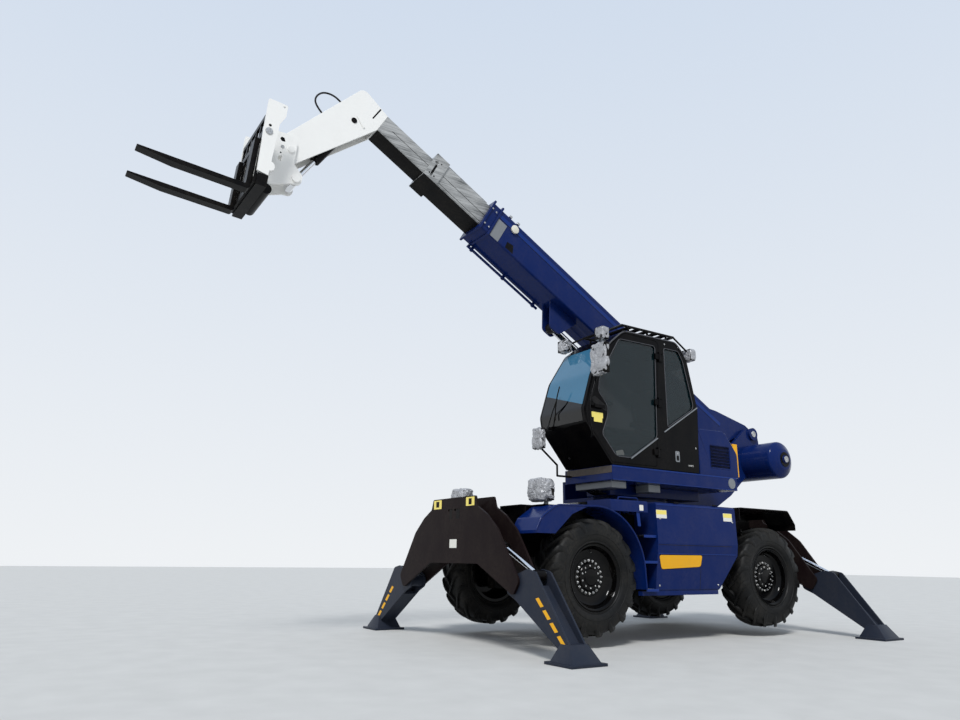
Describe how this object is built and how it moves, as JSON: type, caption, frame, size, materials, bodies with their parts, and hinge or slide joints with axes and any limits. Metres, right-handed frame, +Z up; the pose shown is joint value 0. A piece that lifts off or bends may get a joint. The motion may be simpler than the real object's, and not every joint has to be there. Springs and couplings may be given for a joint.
{
  "type": "rotating telehandler",
  "caption": "Rotating telescopic handler on stabiliser legs with a raised three-section boom, cab, counterweight and pallet forks.",
  "frame": {"origin": "ground plane, under the middle of the whole machine's box", "axes": "+X forward along the boom, +Y to the cab's side, +Z up"},
  "size_m": [9.2643, 4.306, 6.3928],
  "materials": {
    "blue_paint": "deep gloss",
    "black_paint": "satin",
    "white_paint": "gloss",
    "grey_paint": "gloss, streaked",
    "yellow_paint": "gloss",
    "tyre_rubber": "matt",
    "rim_paint": "gloss",
    "chrome": "polished",
    "cast_black": "painted",
    "window_glass": "clear",
    "trim_plastic": "moulded",
    "wrap_film": "crinkled film"
  },
  "bodies": {
    "chassis": {"chassis_frame": "black_paint", "front_stabiliser_frame": "black_paint", "rear_stabiliser_frame": "black_paint", "front_axle": "cast_black", "rear_axle": "cast_black", "front_fenders": "blue_paint", "rear_fenders": "black_paint", "left_tank": "blue_paint", "right_hood": "blue_paint", "engine_block": "cast_black", "steps": "black_paint", "head_lamps": "wrap_film"},
    "turret": {"turret_frame": "blue_paint", "platform": "blue_paint", "counterweight": "blue_paint", "cowls": "blue_paint", "cooler_fan": "yellow_paint", "cab_shell": "black_paint", "cab_glass": "window_glass", "cab_interior": "trim_plastic", "cab_fittings": "black_paint"},
    "door": {"cab_door": "black_paint", "door_glass": "window_glass"},
    "boom_base": {"boom_base": "blue_paint"},
    "boom_mid": {"boom_mid": "grey_paint"},
    "boom_inner": {"boom_inner": "grey_paint", "boom_head": "white_paint"},
    "carriage": {"fork_carriage": "white_paint", "fork_frame": "black_paint", "forks": "black_paint"},
    "lift_barrel": {"lift_barrel": "black_paint"},
    "lift_rod": {"lift_rod": "chrome"},
    "tilt_barrel": {"tilt_barrel": "black_paint"},
    "tilt_rod": {"tilt_rod": "chrome"},
    "leg_front_left": {"leg_front_left": "black_paint"},
    "leg_barrel_front_left": {"leg_barrel_front_left": "black_paint"},
    "leg_rod_front_left": {"leg_rod_front_left": "chrome"},
    "leg_front_right": {"leg_front_right": "black_paint"},
    "leg_barrel_front_right": {"leg_barrel_front_right": "black_paint"},
    "leg_rod_front_right": {"leg_rod_front_right": "chrome"},
    "leg_rear_left": {"leg_rear_left": "black_paint"},
    "leg_barrel_rear_left": {"leg_barrel_rear_left": "black_paint"},
    "leg_rod_rear_left": {"leg_rod_rear_left": "chrome"},
    "leg_rear_right": {"leg_rear_right": "black_paint"},
    "leg_barrel_rear_right": {"leg_barrel_rear_right": "black_paint"},
    "leg_rod_rear_right": {"leg_rod_rear_right": "chrome"},
    "knuckle_front_left": {"knuckle_front_left": "cast_black"},
    "wheel_front_left": {"rim_front_left": "rim_paint", "tyre_front_left": "tyre_rubber"},
    "knuckle_front_right": {"knuckle_front_right": "cast_black"},
    "wheel_front_right": {"rim_front_right": "rim_paint", "tyre_front_right": "tyre_rubber"},
    "knuckle_rear_left": {"knuckle_rear_left": "cast_black"},
    "wheel_rear_left": {"rim_rear_left": "rim_paint", "tyre_rear_left": "tyre_rubber"},
    "knuckle_rear_right": {"knuckle_rear_right": "cast_black"},
    "wheel_rear_right": {"rim_rear_right": "rim_paint", "tyre_rear_right": "tyre_rubber"}
  },
  "joints": [
    {"name": "slew", "type": "hinge", "parent": "chassis", "child": "turret", "pos_m": [-1.91219, 0, 1.64], "axis": [0, 0, 1], "continuous": true},
    {"name": "boom_lift", "type": "hinge", "parent": "turret", "child": "boom_base", "pos_m": [-4.41219, 0, 2.83], "axis": [0, -1, 0], "range_deg": [-31.6, 40.4]},
    {"name": "boom_extend", "type": "slide", "parent": "boom_base", "child": "boom_mid", "axis": [0.8695, 0, 0.4939], "range_m": [-0.72, 2.95]},
    {"name": "boom_extend_inner", "type": "slide", "parent": "boom_mid", "child": "boom_inner", "axis": [0.8695, 0, 0.4939], "range_m": [-0.721, 2.951]},
    {"name": "fork_tilt", "type": "hinge", "parent": "boom_inner", "child": "carriage", "pos_m": [3.08781, 0, 5.28], "axis": [0, 1, 0], "range_deg": [-38, 75]},
    {"name": "door", "type": "hinge", "parent": "turret", "child": "door", "pos_m": [-1.39019, 1.166, 1.99], "axis": [-0.0845, 0, 0.9964], "range_deg": [0, 95]},
    {"name": "lift_barrel_swing", "type": "hinge", "parent": "turret", "child": "lift_barrel", "pos_m": [-3.91219, 0, 2.005], "axis": [0, -1, 0], "range_deg": [-31.53, 40.17]},
    {"name": "lift_rod_slide", "type": "slide", "parent": "lift_barrel", "child": "lift_rod", "axis": [0.854, 0, 0.5203], "range_m": [-0.4911, 0.62703]},
    {"name": "tilt_barrel_swing", "type": "hinge", "parent": "boom_inner", "child": "tilt_barrel", "pos_m": [2.35781, 0, 5.93], "axis": [0, 1, 0], "range_deg": [-5.9, 11.15]},
    {"name": "tilt_rod_slide", "type": "slide", "parent": "tilt_barrel", "child": "tilt_rod", "axis": [0.552, 0, -0.8339], "range_m": [-0.38227, 0.19517]},
    {"name": "leg_front_left", "type": "hinge", "parent": "chassis", "child": "leg_front_left", "pos_m": [0.64231, 1.12, 0.64], "axis": [1, 0, 0], "range_deg": [0, 100]},
    {"name": "leg_barrel_swing_front_left", "type": "hinge", "parent": "chassis", "child": "leg_barrel_front_left", "pos_m": [0.64231, 0.3, 1.29], "axis": [1, 0, 0], "range_deg": [-4.9, 0.5]},
    {"name": "leg_rod_slide_front_left", "type": "slide", "parent": "leg_barrel_front_left", "child": "leg_rod_front_left", "axis": [0, 0.906, -0.4233], "range_m": [-0.50683, 0.002]},
    {"name": "leg_front_right", "type": "hinge", "parent": "chassis", "child": "leg_front_right", "pos_m": [0.64231, -1.12, 0.64], "axis": [-1, 0, 0], "range_deg": [0, 100]},
    {"name": "leg_barrel_swing_front_right", "type": "hinge", "parent": "chassis", "child": "leg_barrel_front_right", "pos_m": [0.64231, -0.3, 1.29], "axis": [-1, 0, 0], "range_deg": [-4.9, 0.5]},
    {"name": "leg_rod_slide_front_right", "type": "slide", "parent": "leg_barrel_front_right", "child": "leg_rod_front_right", "axis": [0, -0.906, -0.4233], "range_m": [-0.50683, 0.002]},
    {"name": "leg_rear_left", "type": "hinge", "parent": "chassis", "child": "leg_rear_left", "pos_m": [-4.34969, 1.12, 0.64], "axis": [1, 0, 0], "range_deg": [0, 100]},
    {"name": "leg_barrel_swing_rear_left", "type": "hinge", "parent": "chassis", "child": "leg_barrel_rear_left", "pos_m": [-4.34969, 0.3, 1.29], "axis": [1, 0, 0], "range_deg": [-4.9, 0.5]},
    {"name": "leg_rod_slide_rear_left", "type": "slide", "parent": "leg_barrel_rear_left", "child": "leg_rod_rear_left", "axis": [0, 0.906, -0.4233], "range_m": [-0.50683, 0.002]},
    {"name": "leg_rear_right", "type": "hinge", "parent": "chassis", "child": "leg_rear_right", "pos_m": [-4.34969, -1.12, 0.64], "axis": [-1, 0, 0], "range_deg": [0, 100]},
    {"name": "leg_barrel_swing_rear_right", "type": "hinge", "parent": "chassis", "child": "leg_barrel_rear_right", "pos_m": [-4.34969, -0.3, 1.29], "axis": [-1, 0, 0], "range_deg": [-4.9, 0.5]},
    {"name": "leg_rod_slide_rear_right", "type": "slide", "parent": "leg_barrel_rear_right", "child": "leg_rod_rear_right", "axis": [0, -0.906, -0.4233], "range_m": [-0.50683, 0.002]},
    {"name": "steer_front_left", "type": "hinge", "parent": "chassis", "child": "knuckle_front_left", "pos_m": [-0.36719, 0.815, 0.736], "axis": [0, 0, 1], "range_deg": [-25, 25]},
    {"name": "wheel_front_left", "type": "hinge", "parent": "knuckle_front_left", "child": "wheel_front_left", "pos_m": [-0.36719, 0.965, 0.736], "axis": [0, 1, 0], "continuous": true},
    {"name": "steer_front_right", "type": "hinge", "parent": "chassis", "child": "knuckle_front_right", "pos_m": [-0.36719, -0.815, 0.736], "axis": [0, 0, 1], "range_deg": [-25, 25]},
    {"name": "wheel_front_right", "type": "hinge", "parent": "knuckle_front_right", "child": "wheel_front_right", "pos_m": [-0.36719, -0.965, 0.736], "axis": [0, 1, 0], "continuous": true},
    {"name": "steer_rear_left", "type": "hinge", "parent": "chassis", "child": "knuckle_rear_left", "pos_m": [-3.41719, 0.815, 0.736], "axis": [0, 0, 1], "range_deg": [-25, 25]},
    {"name": "wheel_rear_left", "type": "hinge", "parent": "knuckle_rear_left", "child": "wheel_rear_left", "pos_m": [-3.41719, 0.965, 0.736], "axis": [0, 1, 0], "continuous": true},
    {"name": "steer_rear_right", "type": "hinge", "parent": "chassis", "child": "knuckle_rear_right", "pos_m": [-3.41719, -0.815, 0.736], "axis": [0, 0, 1], "range_deg": [-25, 25]},
    {"name": "wheel_rear_right", "type": "hinge", "parent": "knuckle_rear_right", "child": "wheel_rear_right", "pos_m": [-3.41719, -0.965, 0.736], "axis": [0, 1, 0], "continuous": true}
  ],
  "couplings": [
    {"joint": "boom_extend_inner", "follows": "boom_extend", "ratio": 1},
    {"joint": "lift_barrel_swing", "follows": "boom_lift", "ratio": 0.982},
    {"joint": "lift_rod_slide", "follows": "boom_lift", "m_per_rad": 0.885},
    {"joint": "tilt_barrel_swing", "follows": "fork_tilt", "ratio": 0.142},
    {"joint": "tilt_rod_slide", "follows": "fork_tilt", "m_per_rad": -0.28974},
    {"joint": "leg_barrel_swing_front_left", "follows": "leg_front_left", "ratio": -0.044},
    {"joint": "leg_rod_slide_front_left", "follows": "leg_front_left", "m_per_rad": -0.28924},
    {"joint": "leg_barrel_swing_front_right", "follows": "leg_front_right", "ratio": -0.044},
    {"joint": "leg_rod_slide_front_right", "follows": "leg_front_right", "m_per_rad": -0.28924},
    {"joint": "leg_barrel_swing_rear_left", "follows": "leg_rear_left", "ratio": -0.044},
    {"joint": "leg_rod_slide_rear_left", "follows": "leg_rear_left", "m_per_rad": -0.28924},
    {"joint": "leg_barrel_swing_rear_right", "follows": "leg_rear_right", "ratio": -0.044},
    {"joint": "leg_rod_slide_rear_right", "follows": "leg_rear_right", "m_per_rad": -0.28924},
    {"joint": "steer_front_right", "follows": "steer_front_left", "ratio": 1},
    {"joint": "steer_rear_right", "follows": "steer_rear_left", "ratio": 1}
  ]
}
